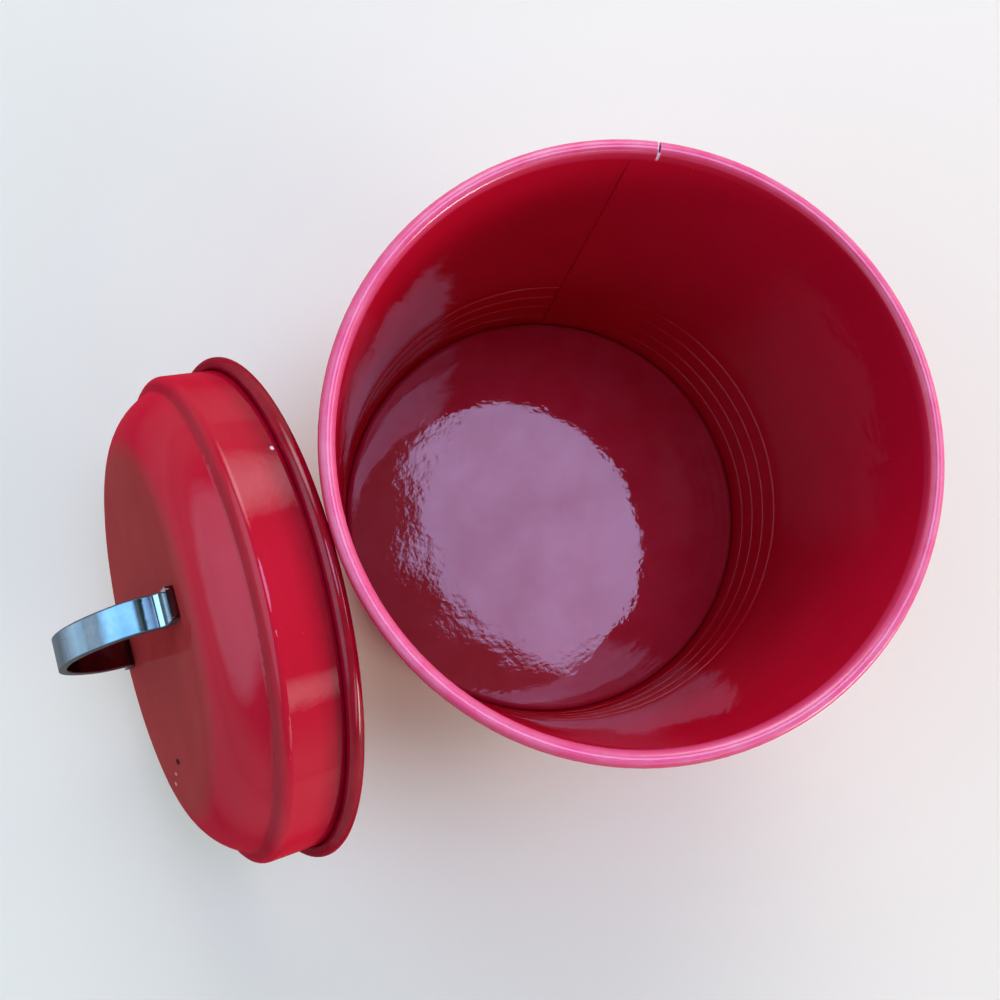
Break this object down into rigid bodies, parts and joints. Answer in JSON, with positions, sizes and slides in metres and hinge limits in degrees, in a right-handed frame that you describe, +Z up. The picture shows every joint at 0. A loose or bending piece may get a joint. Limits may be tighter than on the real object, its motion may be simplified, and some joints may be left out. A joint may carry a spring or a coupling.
{
  "type": "tea canister",
  "caption": "Round pressed-steel tea canister with a rolled rim and a ribbed foot; its stepped lid, with a riveted strap handle, is off and leans on the rim.",
  "frame": {"origin": "middle of the canister's foot ring, on the surface it stands on", "axes": "+Z up along the canister's axis, +Y towards the lap joint in its wall; the lid leans on the -X side"},
  "size_m": [0.1667, 0.1357, 0.1015],
  "materials": {
    "red_paint": "gloss",
    "bright_plate": "polished",
    "plain_steel": "satin"
  },
  "bodies": {
    "canister": {"body_wall": "red_paint", "base_pan": "red_paint"},
    "lid": {"lid_shell": "red_paint", "handle_strap": "bright_plate", "rivet_upper": "bright_plate", "rivet_lower": "bright_plate", "washer_upper": "plain_steel", "washer_lower": "plain_steel"}
  },
  "joints": [
    {"name": "lid_lift", "type": "slide", "parent": "canister", "child": "lid", "axis": [-0.8991, -0.2392, 0.3665], "range_m": [0, 0.15]}
  ]
}
